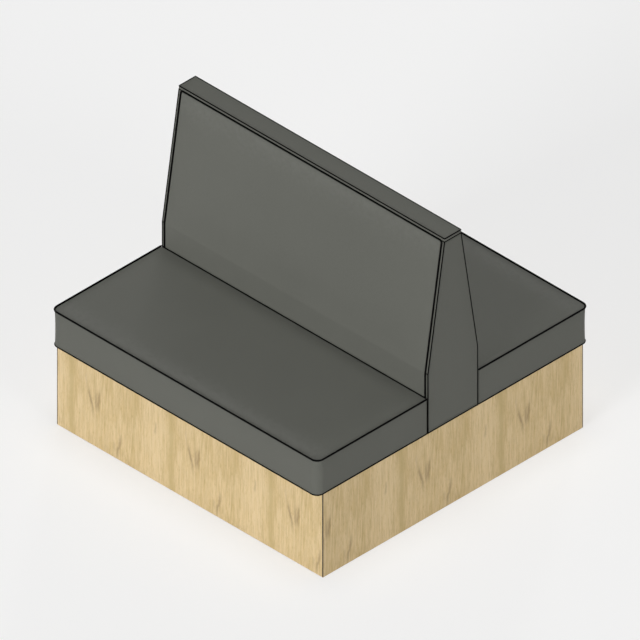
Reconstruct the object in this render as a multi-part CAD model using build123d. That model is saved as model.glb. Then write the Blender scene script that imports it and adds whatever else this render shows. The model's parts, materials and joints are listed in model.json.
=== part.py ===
from build123d import *
import math
import os

# A double restaurant booth: two seats back to back on one plinth, with a shared back.
# Millimetres. X runs along the booth, Y through it, Z up. The origin is on the floor at the
# middle. The front seat is on the -Y side, the rear one on the +Y side, left is -X.
# The front and left pieces are modelled, and the others are their mirror images.

# The booth as a whole
booth_length = 1219.2
base_depth = 1193.8
base_height = 330.2
overall_height = 1066.8
seat_thickness = 139.7
seat_overhang = 25.4
back_foot_width = 228.6
back_top_width = 76.2
bend_rise = 234.95

# Plinth
board_thickness = 18.0
laminate_thickness = 1.0
laminate_floor_gap = 2.0
centre_deck_width = 300.0
corner_block_width = 60.0
corner_block_height = 75.0

# Levelling feet
foot_pad_radius = 20.0
foot_pad_height = 7.0
foot_pad_chamfer = 1.5
foot_stud_radius = 4.0
foot_stud_height = 105.0
foot_slot_width = 1.6
foot_slot_depth = 2.4
foot_stop_gap = 0.3

# Tee nuts and bolts of one thread size
tee_flange_radius = 10.0
tee_flange_thickness = 1.5
tee_barrel_radius = 5.0
tee_barrel_length = 10.0
bolt_radius = 4.0
bolt_head_radius = 7.5
bolt_head_height = 5.3
bolt_flange_radius = 9.0
bolt_flange_thickness = 1.6
bolt_places_share = (-0.7, 0.0, 0.7)
running_clearance = 0.15
hole_clearance = 0.3

# Floor brackets
bracket_leg = 50.0
bracket_width = 40.0
bracket_thickness = 3.0
bracket_bend_radius = 3.0
bracket_hole_radius = 4.5
bracket_hole_reach = 30.0
bracket_place_share = 0.6
bracket_screw_heights_share = (0.4, 0.78)
bracket_screw_radius = 2.4
bracket_screw_head_radius = 4.5
bracket_screw_head_height = 2.6
bracket_screw_length = 15.0

# Countersunk wood screws of the frames
screw_radius = 2.5
screw_head_radius = 4.8
screw_head_depth = 2.9
screw_length = 50.0
screw_tip = 5.0
screw_clearance = 0.15
corner_screw_shares = (0.3, 0.6, 0.9)
spine_screw_shares = (0.25, 0.75)
deck_screw_shares = (-0.66, 0.0, 0.66)
cap_screw_shares = (-0.7, 0.0, 0.7)

# Back frame
end_board_thickness = 11.0
skin_thickness = 6.0
bottom_rail_size = 38.0
bend_rail_thickness = 25.0
bend_rail_height = 60.0
top_rail_height = 45.0
back_rib_place_share = 0.34

# Upholstery
vinyl_thickness = 1.2
panel_vinyl_thickness = 1.0
back_foam_thickness = 19.0
pad_proud = 2.0
pad_bend_radius = 60.0
pad_edge_roll = 3.0
welt_radius = 2.75
welt_clearance = 0.15
welt_corner_radius = 9.0
back_welt_proud = 0.5
cap_thickness = 12.7
cap_edge_roll = 1.5
seat_gap = 0.5
seat_plan_radius = 25.4
seat_edge_roll = 6.0
seat_rear_roll = 3.0
seat_crown = 5.0
seat_end_crown = 0.05
seat_welt_clearance = 0.3
seat_deck_thickness = 15.0
seat_turn_under = 50.0

# Cleats under the seats
cleat_width = 38.0
cleat_height = 18.0
cleat_clearance = 1.5
cleat_screw_length = 30.0
cleat_screw_radius = 2.0
cleat_screw_head_radius = 4.0
cleat_screw_head_depth = 2.4
cleat_screw_tip = 4.0
cleat_screw_shares = (0.15, 0.5, 0.85)

# How far a cutting shape runs past what it cuts
cut_overrun = 1.0

# Places worked out from the sizes above
half_length = booth_length / 2
half_base = base_depth / 2
board_x = half_length - laminate_thickness
board_y = half_base - laminate_thickness
inner_x = board_x - board_thickness
inner_y = board_y - board_thickness
centre_deck_y = centre_deck_width / 2
centre_deck_bottom = base_height - board_thickness
spine_y = centre_deck_y - board_thickness
foot_x = inner_x - corner_block_width / 2
foot_y = inner_y - corner_block_width / 2
corner_nut_bottom = foot_pad_height + foot_stop_gap
corner_block_bottom = corner_nut_bottom + tee_flange_thickness
deck_nut_bottom = centre_deck_bottom - tee_flange_thickness
seat_top = base_height + seat_thickness

foot_half_width = back_foot_width / 2
top_half_width = back_top_width / 2
bend_z = base_height + bend_rise
cap_bottom = overall_height - cap_thickness
lean = math.atan((foot_half_width - top_half_width) / (cap_bottom - bend_z))
panel_inner_x = half_length - end_board_thickness - panel_vinyl_thickness

# Depths are measured square in from the front edge of the end panels
foam_face_depth = vinyl_thickness - pad_proud
skin_face_depth = foam_face_depth + back_foam_thickness
frame_face_depth = skin_face_depth + skin_thickness
welt_depth = welt_radius - pad_proud - back_welt_proud
welt_slot = 2 * (welt_radius + welt_clearance)
pad_half_length = panel_inner_x - welt_slot
pad_top = cap_bottom - welt_slot
pad_corner_radius = welt_corner_radius - welt_slot / 2
frame_foot_y = foot_half_width - frame_face_depth
bottom_rail_y = frame_foot_y - bottom_rail_size / 2
bottom_rail_top = base_height + bottom_rail_size
bolt_y = bottom_rail_y

seat_front_y = half_base + seat_overhang
seat_rear_y = foot_half_width + pad_proud + back_welt_proud + seat_gap
seat_depth = seat_front_y - seat_rear_y
seam_drop = seat_edge_roll * (1 - math.sqrt(1 / 2))
welt_reach = seat_edge_roll + welt_radius + seat_welt_clearance
welt_outset = welt_reach / math.sqrt(2) - seat_edge_roll


# Shared shapes


def block(x_span, y_span, z_span):
    """A box between two values on each axis."""
    size = [span[1] - span[0] for span in (x_span, y_span, z_span)]
    corner = Pos(x_span[0], y_span[0], z_span[0])
    return corner * Box(*size, align=(Align.MIN, Align.MIN, Align.MIN))


def turned(points):
    """A solid turned round Z from half of its outline, given as radius and height."""
    outline = make_face(Polyline(*[(radius, 0, height) for radius, height in points], close=True))
    return revolve(outline, Axis.Z)


def profile(points, x_span):
    """A solid with an outline in Y and Z, between two values on X."""
    outline = make_face(Polyline(*[(x_span[0], y, z) for y, z in points], close=True))
    return extrude(outline, x_span[1] - x_span[0], dir=(1, 0, 0))


def group(shapes):
    """Separate solids kept together."""
    return Compound([solid for shape in shapes for solid in shape.solids()])


def to_rear(shape):
    return mirror(shape, about=Plane.XZ)


def to_right(shape):
    return mirror(shape, about=Plane.YZ)


def at_corners(shape):
    """A shape at the front left corner and its three mirror images."""
    left = [shape, to_rear(shape)]
    return left + [to_right(each) for each in left]


def boxes_meet(one, other):
    a = one.bounding_box()
    b = other.bounding_box()
    apart_x = a.min.X > b.max.X or b.min.X > a.max.X
    apart_y = a.min.Y > b.max.Y or b.min.Y > a.max.Y
    apart_z = a.min.Z > b.max.Z or b.min.Z > a.max.Z
    return not (apart_x or apart_y or apart_z)


def drilled(shape, cutters):
    """The shape with every cutter that reaches it taken away."""
    near = [cutter for cutter in cutters if boxes_meet(shape, cutter)]
    return shape - near if near else shape


# Lines of the back, seen from its end


def half_width(depth, z):
    """Half the width of the back at a height, at a depth in from the front edge."""
    turn_z = bend_z - depth * math.tan(lean / 2)
    return foot_half_width - depth - max(0, z - turn_z) * math.tan(lean)


def face_points(depth, top):
    """Foot, bend and top of the front face at a depth, as Y and Z."""
    turn_z = bend_z - depth * math.tan(lean / 2)
    foot = (-half_width(depth, base_height), base_height)
    turn = (-half_width(depth, turn_z), turn_z)
    return foot, turn, (-half_width(depth, top), top)


def wedge(depth, top, x_span):
    """The whole width of the back in from its faces by a depth, up to a height."""
    front = face_points(depth, top)
    rear = [(-y, z) for y, z in reversed(front)]
    return profile([*front, *rear], x_span)


# Fasteners


def countersunk(radius, head_radius, head_depth, length, tip, grow=0):
    """A countersunk screw whose head is flush at the origin and whose tip points to -Z."""
    top = cut_overrun if grow else 0
    outline = [
        (0, top),
        (head_radius + grow, top),
        (head_radius + grow, 0),
        (radius + grow, -head_depth),
        (radius + grow, tip - length),
        (0, -length - grow),
    ]
    if not grow:
        outline.pop(1)
    return turned(outline)


def frame_screw(grow=0):
    return countersunk(
        screw_radius, screw_head_radius, screw_head_depth, screw_length, screw_tip, grow
    )


def cleat_screw(grow=0):
    return countersunk(
        cleat_screw_radius,
        cleat_screw_head_radius,
        cleat_screw_head_depth,
        cleat_screw_length,
        cleat_screw_tip,
        grow,
    )


def bracket_screw():
    """A pan head screw whose head stands on the origin's plane, with its tip towards -Z."""
    dome = bracket_screw_head_height / 2
    return turned(
        [
            (0, bracket_screw_head_height),
            (bracket_screw_head_radius - dome, bracket_screw_head_height),
            (bracket_screw_head_radius, dome),
            (bracket_screw_head_radius, 0),
            (bracket_screw_radius, 0),
            (bracket_screw_radius, bracket_screw_radius - bracket_screw_length),
            (0, -bracket_screw_length),
        ]
    )


def bored(radius, height):
    """A round cutter along Z that stands on the origin and runs past both its ends."""
    length = height + 2 * cut_overrun
    low = (Align.CENTER, Align.CENTER, Align.MIN)
    return Pos(0, 0, -cut_overrun) * Cylinder(radius, length, align=low)


def tee_nut():
    """A nut with its flange on the origin's plane and its barrel upwards."""
    bore = foot_stud_radius + running_clearance
    return turned(
        [
            (bore, 0),
            (tee_flange_radius, 0),
            (tee_flange_radius, tee_flange_thickness),
            (tee_barrel_radius, tee_flange_thickness),
            (tee_barrel_radius, tee_flange_thickness + tee_barrel_length),
            (bore, tee_flange_thickness + tee_barrel_length),
        ]
    )


def back_bolt():
    """A hexagon bolt with a flange that stands on the origin's plane, tip towards -Z."""
    length = bottom_rail_size + board_thickness + tee_flange_thickness
    low = (Align.CENTER, Align.CENTER, Align.MIN)
    high = (Align.CENTER, Align.CENTER, Align.MAX)
    shank = Cylinder(bolt_radius, length, align=high)
    flange = Cylinder(bolt_flange_radius, bolt_flange_thickness, align=low)
    head = extrude(RegularPolygon(bolt_head_radius, 6), bolt_head_height)
    return shank + flange + Pos(0, 0, bolt_flange_thickness) * head


def facing(x, y, z, direction):
    """A place whose own Z points along a direction."""
    return Plane(origin=(x, y, z), z_dir=direction).location


def frame_screw_places():
    """Where the frame screws sit, each with its head's direction."""
    edge_x = board_x - board_thickness / 2
    spine_mid = spine_y + board_thickness / 2
    places = []
    for share in corner_screw_shares:
        places += [(sx * edge_x, sy * board_y, share * base_height, (0, sy, 0))
                   for sx in (-1, 1) for sy in (-1, 1)]
    for share in spine_screw_shares:
        z = share * centre_deck_bottom
        places += [(sx * board_x, sy * spine_mid, z, (sx, 0, 0)) for sx in (-1, 1) for sy in (-1, 1)]
        places += [(0, sy * board_y, z, (0, sy, 0)) for sy in (-1, 1)]
        places += [(0, sy * spine_y, z, (0, -sy, 0)) for sy in (-1, 1)]
    for share in deck_screw_shares:
        places += [(share * inner_x, sy * spine_mid, base_height, (0, 0, 1)) for sy in (-1, 1)]
    deck_mid = base_height - board_thickness / 2
    rail_mid = base_height + bottom_rail_size / 2
    bend_rail_z = bend_z - bend_rail_height / 4
    bend_rail_y = frame_foot_y - bend_rail_thickness / 2
    panel_x = half_length - panel_vinyl_thickness
    for sx in (-1, 1):
        places += [(sx * board_x, sy * spine_y / 2, deck_mid, (sx, 0, 0)) for sy in (-1, 1)]
        places += [(sx * panel_x, sy * bottom_rail_y, rail_mid, (sx, 0, 0)) for sy in (-1, 1)]
        places += [(sx * panel_x, sy * bend_rail_y, bend_rail_z, (sx, 0, 0)) for sy in (-1, 1)]
        places.append((sx * panel_x, 0, cap_bottom - top_rail_height / 2, (sx, 0, 0)))
    cap_board_top = overall_height - panel_vinyl_thickness
    places += [(share * inner_x, 0, cap_board_top, (0, 0, 1)) for share in cap_screw_shares]
    return [facing(*place) for place in places]


def bracket_screw_places():
    """Where the screws of the front left bracket sit, heads towards the inside."""
    x = -bracket_place_share * inner_x
    y = -inner_y + bracket_thickness
    return [facing(x, y, share * bracket_leg, (0, 1, 0)) for share in bracket_screw_heights_share]


def bolt_places():
    return [(share * inner_x, sy * bolt_y) for share in bolt_places_share for sy in (-1, 1)]


def fasteners():
    """The groups of screws, bolts and nuts, and the cutters for their holes."""
    screw_places = frame_screw_places()
    bracket_screws = [place * bracket_screw() for place in bracket_screw_places()]
    hole = Cylinder(bracket_screw_radius + screw_clearance, 2 * bracket_screw_length)
    bracket_holes = [place * hole for place in bracket_screw_places()]
    corner_nut = Pos(-foot_x, -foot_y, corner_nut_bottom) * tee_nut()
    barrel_hole = bored(tee_barrel_radius + running_clearance, corner_block_height)
    block_hole = Pos(-foot_x, -foot_y, corner_block_bottom) * barrel_hole
    deck_nuts = [Pos(x, y, deck_nut_bottom) * tee_nut() for x, y in bolt_places()]
    deck_hole = bored(tee_barrel_radius + running_clearance, board_thickness)
    deck_holes = [Pos(x, y, centre_deck_bottom) * deck_hole for x, y in bolt_places()]
    rail_hole = bored(bolt_radius + hole_clearance, bottom_rail_size)
    rail_holes = [Pos(x, y, base_height) * rail_hole for x, y in bolt_places()]
    nodes = {
        "frame_screws": group([place * frame_screw() for place in screw_places]),
        "floor_bracket_screws": group([c for s in bracket_screws for c in at_corners(s)]),
        "tee_nuts": group(at_corners(corner_nut) + deck_nuts),
        "back_bolts": group([Pos(x, y, bottom_rail_top) * back_bolt() for x, y in bolt_places()]),
    }
    cutters = {
        "screws": [place * frame_screw(screw_clearance) for place in screw_places],
        "bracket": [c for h in bracket_holes for c in at_corners(h)],
        "block": [block_hole],
        "deck": deck_holes,
        "rail": rail_holes,
    }
    return nodes, cutters


# Plinth


def floor_bracket(cutters):
    """An angle on the inside of the front board, with a hole for a floor bolt."""
    x = -bracket_place_share * inner_x
    half = bracket_width / 2
    wall = -inner_y
    leg_up = [(wall, 0), (wall + bracket_leg, 0), (wall + bracket_leg, bracket_thickness)]
    corner = [(wall + bracket_thickness, bracket_thickness)]
    leg_top = [(wall + bracket_thickness, bracket_leg), (wall, bracket_leg)]
    angle = profile(leg_up + corner + leg_top, (x - half, x + half))
    inside = [
        edge
        for edge in angle.edges().filter_by(Axis.X)
        if abs(edge.center().Y - wall - bracket_thickness) < bracket_thickness / 2
        and abs(edge.center().Z - bracket_thickness) < bracket_thickness / 2
    ]
    angle = fillet(inside, bracket_bend_radius)
    floor_hole = bored(bracket_hole_radius, bracket_thickness)
    angle = angle - Pos(x, wall + bracket_hole_reach, 0) * floor_hole
    return drilled(angle, cutters["bracket"])


def plinth(cutters):
    """Boards, blocks and laminate of the plinth."""
    height = (0, base_height)
    under_deck = (0, centre_deck_bottom)
    clad = (laminate_floor_gap, base_height)
    front_board = block((-board_x, board_x), (-board_y, -inner_y), height)
    end_board = block((-board_x, -inner_x), (-inner_y, inner_y), height)
    spine = block((-inner_x, inner_x), (-centre_deck_y, -spine_y), under_deck)
    half_board = board_thickness / 2
    rib = block((-half_board, half_board), (-inner_y, -centre_deck_y), height)
    deck_span = (centre_deck_bottom, base_height)
    deck = block((-inner_x, inner_x), (-centre_deck_y, centre_deck_y), deck_span)
    corner_x = (-inner_x, corner_block_width - inner_x)
    corner_y = (-inner_y, corner_block_width - inner_y)
    corner_z = (corner_block_bottom, corner_block_bottom + corner_block_height)
    corner = drilled(block(corner_x, corner_y, corner_z), cutters["block"])
    front_skin = block((-half_length, half_length), (-half_base, -board_y), clad)
    end_skin = block((-half_length, -board_x), (-board_y, board_y), clad)
    holes = cutters["screws"] + cutters["bracket"]
    front_board = drilled(front_board, holes)
    end_board = drilled(end_board, holes)
    spine = drilled(spine, holes)
    rib = drilled(rib, holes)
    return {
        "base_side_board_front": front_board,
        "base_side_board_rear": to_rear(front_board),
        "base_end_board_left": end_board,
        "base_end_board_right": to_right(end_board),
        "base_spine_front": spine,
        "base_spine_rear": to_rear(spine),
        "base_rib_front": rib,
        "base_rib_rear": to_rear(rib),
        "base_centre_deck": drilled(deck, holes + cutters["deck"]),
        "corner_blocks": group(at_corners(corner)),
        "laminate_front": front_skin,
        "laminate_rear": to_rear(front_skin),
        "laminate_left": end_skin,
        "laminate_right": to_right(end_skin),
        "floor_brackets": group(at_corners(floor_bracket(cutters))),
    }


def levelling_feet():
    """Four feet, each a pad and stud in one, slotted on top for a screwdriver."""
    stud = foot_stud_radius
    foot = turned(
        [
            (0, 0),
            (foot_pad_radius - foot_pad_chamfer, 0),
            (foot_pad_radius, foot_pad_chamfer),
            (foot_pad_radius, foot_pad_height),
            (stud, foot_pad_height),
            (stud, foot_stud_height),
            (0, foot_stud_height),
        ]
    )
    half_slot = foot_slot_width / 2
    reach = stud + cut_overrun
    slot_z = (foot_stud_height - foot_slot_depth, foot_stud_height + cut_overrun)
    foot = foot - block((-half_slot, half_slot), (-reach, reach), slot_z)
    names = ["front_left", "rear_left", "front_right", "rear_right"]
    feet = at_corners(Pos(-foot_x, -foot_y, 0) * foot)
    return {"levelling_foot_" + name: each for name, each in zip(names, feet)}


# Back


def layer(outer, inner, x_span):
    """A sheet between two depths behind the front face, with the back's bend in it."""
    outside = face_points(outer, cap_bottom)
    inside = [*reversed(face_points(inner, cap_bottom))]
    return profile([*outside, *inside], x_span)


def back_skins(x_span):
    """Lower and upper plywood skins of the front face, mitred where they meet."""
    foot, turn, top = face_points(skin_face_depth, cap_bottom)
    inner_foot, inner_turn, inner_top = face_points(frame_face_depth, cap_bottom)
    lower = profile([foot, turn, inner_turn, inner_foot], x_span)
    upper = profile([turn, top, inner_top, inner_turn], x_span)
    return lower, upper


def back_frame(cutters):
    """Ribs, rails, skins and end panels."""
    between = (-panel_inner_x, panel_inner_x)
    past = (-half_length, half_length)
    rail_y = (-frame_foot_y, bottom_rail_size - frame_foot_y)
    bottom_rail = block(between, rail_y, (base_height, bottom_rail_top))
    half_rail = bend_rail_height / 2
    bend_band = block(past, (-foot_half_width, 0), (bend_z - half_rail, bend_z + half_rail))
    bend_sheet = layer(frame_face_depth, frame_face_depth + bend_rail_thickness, between)
    bend_rail = bend_sheet & bend_band
    top_rail_bottom = cap_bottom - top_rail_height
    top_band = block(past, (-foot_half_width, foot_half_width), (top_rail_bottom, cap_bottom))
    top_rail = wedge(frame_face_depth, cap_bottom, between) & top_band
    half_board = board_thickness / 2
    rib_x = -back_rib_place_share * booth_length / 2
    rib_span = (rib_x - half_board, rib_x + half_board)
    rib_z = (bottom_rail_top, top_rail_bottom)
    rib_band = block(past, (-foot_half_width, foot_half_width), rib_z)
    rib = wedge(frame_face_depth, cap_bottom, rib_span) & rib_band
    rib = rib - bend_rail - to_rear(bend_rail)
    lower_skin, upper_skin = back_skins(between)
    board_span = (-half_length + panel_vinyl_thickness, -panel_inner_x)
    end_board = wedge(panel_vinyl_thickness, cap_bottom, board_span)
    end_vinyl = wedge(0, cap_bottom, (-half_length, -panel_inner_x)) - end_board
    screws = cutters["screws"]
    bottom_rail = drilled(bottom_rail, screws + cutters["rail"])
    bend_rail = drilled(bend_rail, screws)
    end_board = drilled(end_board, screws)
    return {
        "back_bottom_rail_front": bottom_rail,
        "back_bottom_rail_rear": to_rear(bottom_rail),
        "back_bend_rail_front": bend_rail,
        "back_bend_rail_rear": to_rear(bend_rail),
        "back_top_rail": drilled(top_rail, screws),
        "back_rib_left": rib,
        "back_rib_right": to_right(rib),
        "back_lower_skin_front": lower_skin,
        "back_lower_skin_rear": to_rear(lower_skin),
        "back_upper_skin_front": upper_skin,
        "back_upper_skin_rear": to_rear(upper_skin),
        "end_panel_left": end_board,
        "end_panel_right": to_right(end_board),
        "end_panel_cover_left": end_vinyl,
        "end_panel_cover_right": to_right(end_vinyl),
    }


def cap(cutters):
    """The board along the top of the back, and the vinyl wrapped over it."""
    vinyl = panel_vinyl_thickness
    x_board = half_length - vinyl
    y_board = top_half_width - vinyl
    board = block((-x_board, x_board), (-y_board, y_board), (cap_bottom, overall_height - vinyl))
    x_span = (-half_length, half_length)
    wrap = block(x_span, (-top_half_width, top_half_width), (cap_bottom, overall_height))
    wrap = fillet(wrap.edges().group_by(Axis.Z)[-1], cap_edge_roll)
    return {"cap_board": drilled(board, cutters["screws"]), "cap_cover": wrap - board}


def pad(inset):
    """The front pad of the back, drawn in by an inset on all its upholstered sides."""
    depth = inset - pad_proud
    half = pad_half_length - inset
    top = pad_top - inset
    outline = make_face(
        Polyline(
            *[(-half, y, z) for y, z in face_points(depth, top)],
            *[(-half, y, z) for y, z in reversed(face_points(skin_face_depth, top))],
            close=True,
        )
    )
    bend = min(outline.vertices(), key=lambda v: abs(v.Z - bend_z) + v.Y)
    outline = fillet(bend, pad_bend_radius - inset)
    body = extrude(outline, 2 * half, dir=(1, 0, 0))
    corners = [edge for edge in body.edges().filter_by(Axis.Y) if edge.center().Z > pad_top - welt_slot]
    body = fillet(corners, pad_corner_radius - inset)
    front_faces = [face for face in body.faces() if is_pad_front(face)]
    rim = [edge for face in front_faces for edge in face.edges() if is_pad_rim(edge, half)]
    return fillet(rim, pad_edge_roll - inset)


def is_pad_front(face):
    """Whether a face of the pad is one of those that are leant against."""
    outward = face.normal_at()
    return outward.Y < -math.sqrt(1 / 2)


def is_pad_rim(edge, half):
    """Whether an edge of the pad's front lies on an end or along the top."""
    at_end = abs(abs(edge.center().X) - half) < pad_corner_radius
    at_top = edge.center().Z > pad_top - pad_corner_radius
    return at_end or at_top


def back_welt():
    """The cord in the joint between the front pad and what frames it."""
    x = pad_half_length + welt_slot / 2
    top = pad_top + welt_slot / 2
    foot, turn, head = face_points(welt_depth, top)
    left = [(-x, y, z) for y, z in (foot, turn, head)]
    right = [(x, y, z) for y, z in (head, turn, foot)]
    bend = pad_bend_radius - pad_proud - welt_depth
    radii = [bend, welt_corner_radius, welt_corner_radius, bend]
    path = FilletPolyline(*left, *right, radius=radii)
    section = Plane(origin=left[0], z_dir=(0, 0, 1)) * Circle(welt_radius)
    return sweep(section, path=path)


def back_upholstery():
    cover_body = pad(0)
    foam = pad(vinyl_thickness)
    cover = cover_body - foam
    welt = back_welt()
    return {
        "back_foam_front": foam,
        "back_foam_rear": to_rear(foam),
        "back_cover_front": cover,
        "back_cover_rear": to_rear(cover),
        "back_welt_front": welt,
        "back_welt_rear": to_rear(welt),
    }


# Seats


def crown_section(x, rise, inset):
    """A section across the front cushion whose top rises by a crown at mid depth."""
    half = seat_depth / 2 - inset
    middle = -(seat_front_y + seat_rear_y) / 2
    wide = half + cut_overrun
    edge_z = seat_top - inset
    dip_z = edge_z + rise - rise * (wide / half) ** 2
    low_z = base_height - cut_overrun
    outline = [
        Line((x, middle - wide, dip_z), (x, middle - wide, low_z)),
        Line((x, middle - wide, low_z), (x, middle + wide, low_z)),
        Line((x, middle + wide, low_z), (x, middle + wide, dip_z)),
        ThreePointArc((x, middle + wide, dip_z), (x, middle, edge_z + rise), (x, middle - wide, dip_z)),
    ]
    return make_face(outline)


def cushion(inset):
    """The front cushion's outer form drawn in all round by an inset."""
    reach = half_length + cut_overrun
    rises = [(-reach, seat_end_crown), (0, seat_crown), (reach, seat_end_crown)]
    crowned = loft([crown_section(x, rise, inset) for x, rise in rises])
    x_span = (inset - half_length, half_length - inset)
    y_span = (inset - seat_front_y, -seat_rear_y - inset)
    upright = block(x_span, y_span, (base_height + inset, seat_top + 2 * seat_crown))
    front_corners = upright.edges().filter_by(Axis.Z).group_by(Axis.Y)[0]
    body = crowned & fillet(front_corners, seat_plan_radius - inset)
    top_edges = [edge for edge in body.edges() if edge.center().Z > seat_top - inset - seam_drop]
    rear_y = y_span[1] - seat_edge_roll
    welted = [edge for edge in top_edges if edge.center().Y < rear_y]
    body = fillet(welted, seat_edge_roll - inset)
    rear = [edge for edge in body.edges() if is_seat_rear_edge(edge, rear_y, inset)]
    return fillet(rear, seat_rear_roll - inset)


def is_seat_rear_edge(edge, rear_y, inset):
    """Whether an edge is the long one along the top of the cushion's back."""
    long_enough = edge.length > half_length
    high_enough = edge.center().Z > seat_top - inset - seam_drop
    return long_enough and high_enough and edge.center().Y > rear_y


def seat_welt():
    """The cord along the top edge of the front cushion, round its front and both ends."""
    x = half_length + welt_outset
    front = -seat_front_y - welt_outset
    z = seat_top + welt_outset
    corners = [(-x, -seat_rear_y, z), (-x, front, z), (x, front, z), (x, -seat_rear_y, z)]
    path = FilletPolyline(*corners, radius=seat_plan_radius + welt_outset)
    section = Plane(origin=corners[0], z_dir=(0, -1, 0)) * Circle(welt_radius)
    return sweep(section, path=path)


def cleat():
    """The left one of two strips that straddle the rib under the front seat."""
    near = board_thickness / 2 + cleat_clearance
    deck_bottom = base_height + vinyl_thickness
    x_span = (-near - cleat_width, -near)
    y_span = (cleat_clearance - inner_y, -centre_deck_y - cleat_clearance)
    strip = block(x_span, y_span, (deck_bottom - cleat_height, deck_bottom))
    rim_y = seat_turn_under - seat_front_y + cleat_clearance
    rim = block(
        (x_span[0] - cut_overrun, x_span[1] + cut_overrun),
        (-seat_front_y, rim_y),
        (base_height - cleat_clearance, deck_bottom + cut_overrun),
    )
    rear_rim = block(
        (x_span[0] - cut_overrun, x_span[1] + cut_overrun),
        (-seat_rear_y - seat_turn_under - cleat_clearance, -seat_rear_y),
        (base_height - cleat_clearance, deck_bottom + cut_overrun),
    )
    return strip - rim - rear_rim


def cleat_screw_places():
    """Screws up through the left cleat into the deck, heads flush below."""
    x = -(board_thickness + cleat_width) / 2 - cleat_clearance
    bottom = base_height + vinyl_thickness - cleat_height
    front = cleat_clearance - inner_y
    length = inner_y - centre_deck_y - 2 * cleat_clearance
    return [facing(x, front + share * length, bottom, (0, 0, -1)) for share in cleat_screw_shares]


def seat():
    """The pieces of the front seat by name, without the name's side."""
    outer = cushion(0)
    inner = cushion(vinyl_thickness)
    deck_top = base_height + vinyl_thickness + seat_deck_thickness
    x_span = (-booth_length, booth_length)
    y_span = (-base_depth, 0)
    below = block(x_span, y_span, (0, deck_top))
    above = block(x_span, y_span, (deck_top, overall_height))
    seam_z = seat_top - seam_drop
    shell = outer - inner
    opening = block(
        (seat_turn_under - half_length, half_length - seat_turn_under),
        (seat_turn_under - seat_front_y, -seat_rear_y - seat_turn_under),
        (base_height - cut_overrun, base_height + vinyl_thickness + cut_overrun),
    )
    boxing = (shell & block(x_span, y_span, (0, seam_z))) - opening
    top_panel = shell & block(x_span, y_span, (seam_z, overall_height))
    left_screws = [place * cleat_screw() for place in cleat_screw_places()]
    left_holes = [place * cleat_screw(screw_clearance) for place in cleat_screw_places()]
    holes = left_holes + [to_right(hole) for hole in left_holes]
    left_cleat = drilled(cleat(), holes)
    return {
        "deck": drilled(inner & below, holes),
        "foam": inner & above,
        "boxing": boxing,
        "top_panel": top_panel,
        "welt": seat_welt(),
        "cleats": group([left_cleat, to_right(left_cleat)]),
        "cleat_screws": group(left_screws + [to_right(screw) for screw in left_screws]),
    }


def seats():
    front = {"seat_" + name + "_front": shape for name, shape in seat().items()}
    rear = {name.replace("_front", "_rear"): to_rear(shape) for name, shape in front.items()}
    return front | rear


def main():
    nodes, cutters = fasteners()
    nodes |= plinth(cutters)
    nodes |= levelling_feet()
    nodes |= back_frame(cutters)
    nodes |= cap(cutters)
    nodes |= back_upholstery()
    nodes |= seats()
    os.makedirs("parts", exist_ok=True)
    for name, shape in nodes.items():
        export_step(shape, "parts/" + name + ".step")
    print(len(nodes), "nodes")


main()
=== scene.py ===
import json
import math

import bpy
import numpy as np
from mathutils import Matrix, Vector


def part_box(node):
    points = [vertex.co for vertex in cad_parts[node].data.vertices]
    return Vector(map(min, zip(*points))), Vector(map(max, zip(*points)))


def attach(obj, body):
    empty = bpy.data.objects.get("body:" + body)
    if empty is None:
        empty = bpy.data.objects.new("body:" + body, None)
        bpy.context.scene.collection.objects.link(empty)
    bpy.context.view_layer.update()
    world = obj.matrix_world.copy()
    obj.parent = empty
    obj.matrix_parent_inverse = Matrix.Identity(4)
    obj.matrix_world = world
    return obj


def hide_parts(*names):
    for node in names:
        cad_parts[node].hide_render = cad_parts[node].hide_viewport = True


# A double restaurant booth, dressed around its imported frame. Metres, in the frame's own axes.

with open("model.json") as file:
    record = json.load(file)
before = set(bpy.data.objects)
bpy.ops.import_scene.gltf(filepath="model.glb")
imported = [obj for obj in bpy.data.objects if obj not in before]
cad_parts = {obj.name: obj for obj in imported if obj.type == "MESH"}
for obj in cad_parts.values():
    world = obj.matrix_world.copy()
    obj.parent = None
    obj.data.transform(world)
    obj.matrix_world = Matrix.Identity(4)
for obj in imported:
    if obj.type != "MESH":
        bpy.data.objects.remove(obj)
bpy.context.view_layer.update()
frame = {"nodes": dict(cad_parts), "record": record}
mm = 0.001


def span(node, axis):
    """A node's lowest and highest place along an axis, to a thousandth of a millimetre."""
    return [round(end["xyz".index(axis)] / mm, 3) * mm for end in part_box(node)]


# Places of the rigid pieces, from the frame

panel_inner_x, half_length = span("end_panel_cover_right", "x")
foot_half_width = span("end_panel_cover_right", "y")[1]
half_base = span("laminate_rear", "y")[1]
base_height = span("base_end_board_left", "z")[1]
seat_front, seat_rear = (-y for y in span("seat_boxing_front", "y"))
deck_top = span("seat_deck_front", "z")[1]
cap_half_width = span("cap_cover", "y")[1]
cap_bottom, cap_top = span("cap_cover", "z")

# Sizes that no box in the frame gives

seat_thickness = 139.7 * mm
seat_top = base_height + seat_thickness
bend_above_seat = 95.25 * mm
bend_z = seat_top + bend_above_seat
lean = math.atan((foot_half_width - cap_half_width) / (cap_bottom - bend_z))
fit = 0.1 * mm
welt_radius = 3.4 * mm
cord_radius = 2.2 * mm
# Painted shade: the black cords at the feet stand for the shadow line where the vinyl meets the
# wood.
foot_shade_cord_radius = 2.6 * mm
welt_sides = 12
cord_sides = 8
tiny = 1e-9


# Node materials


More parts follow.
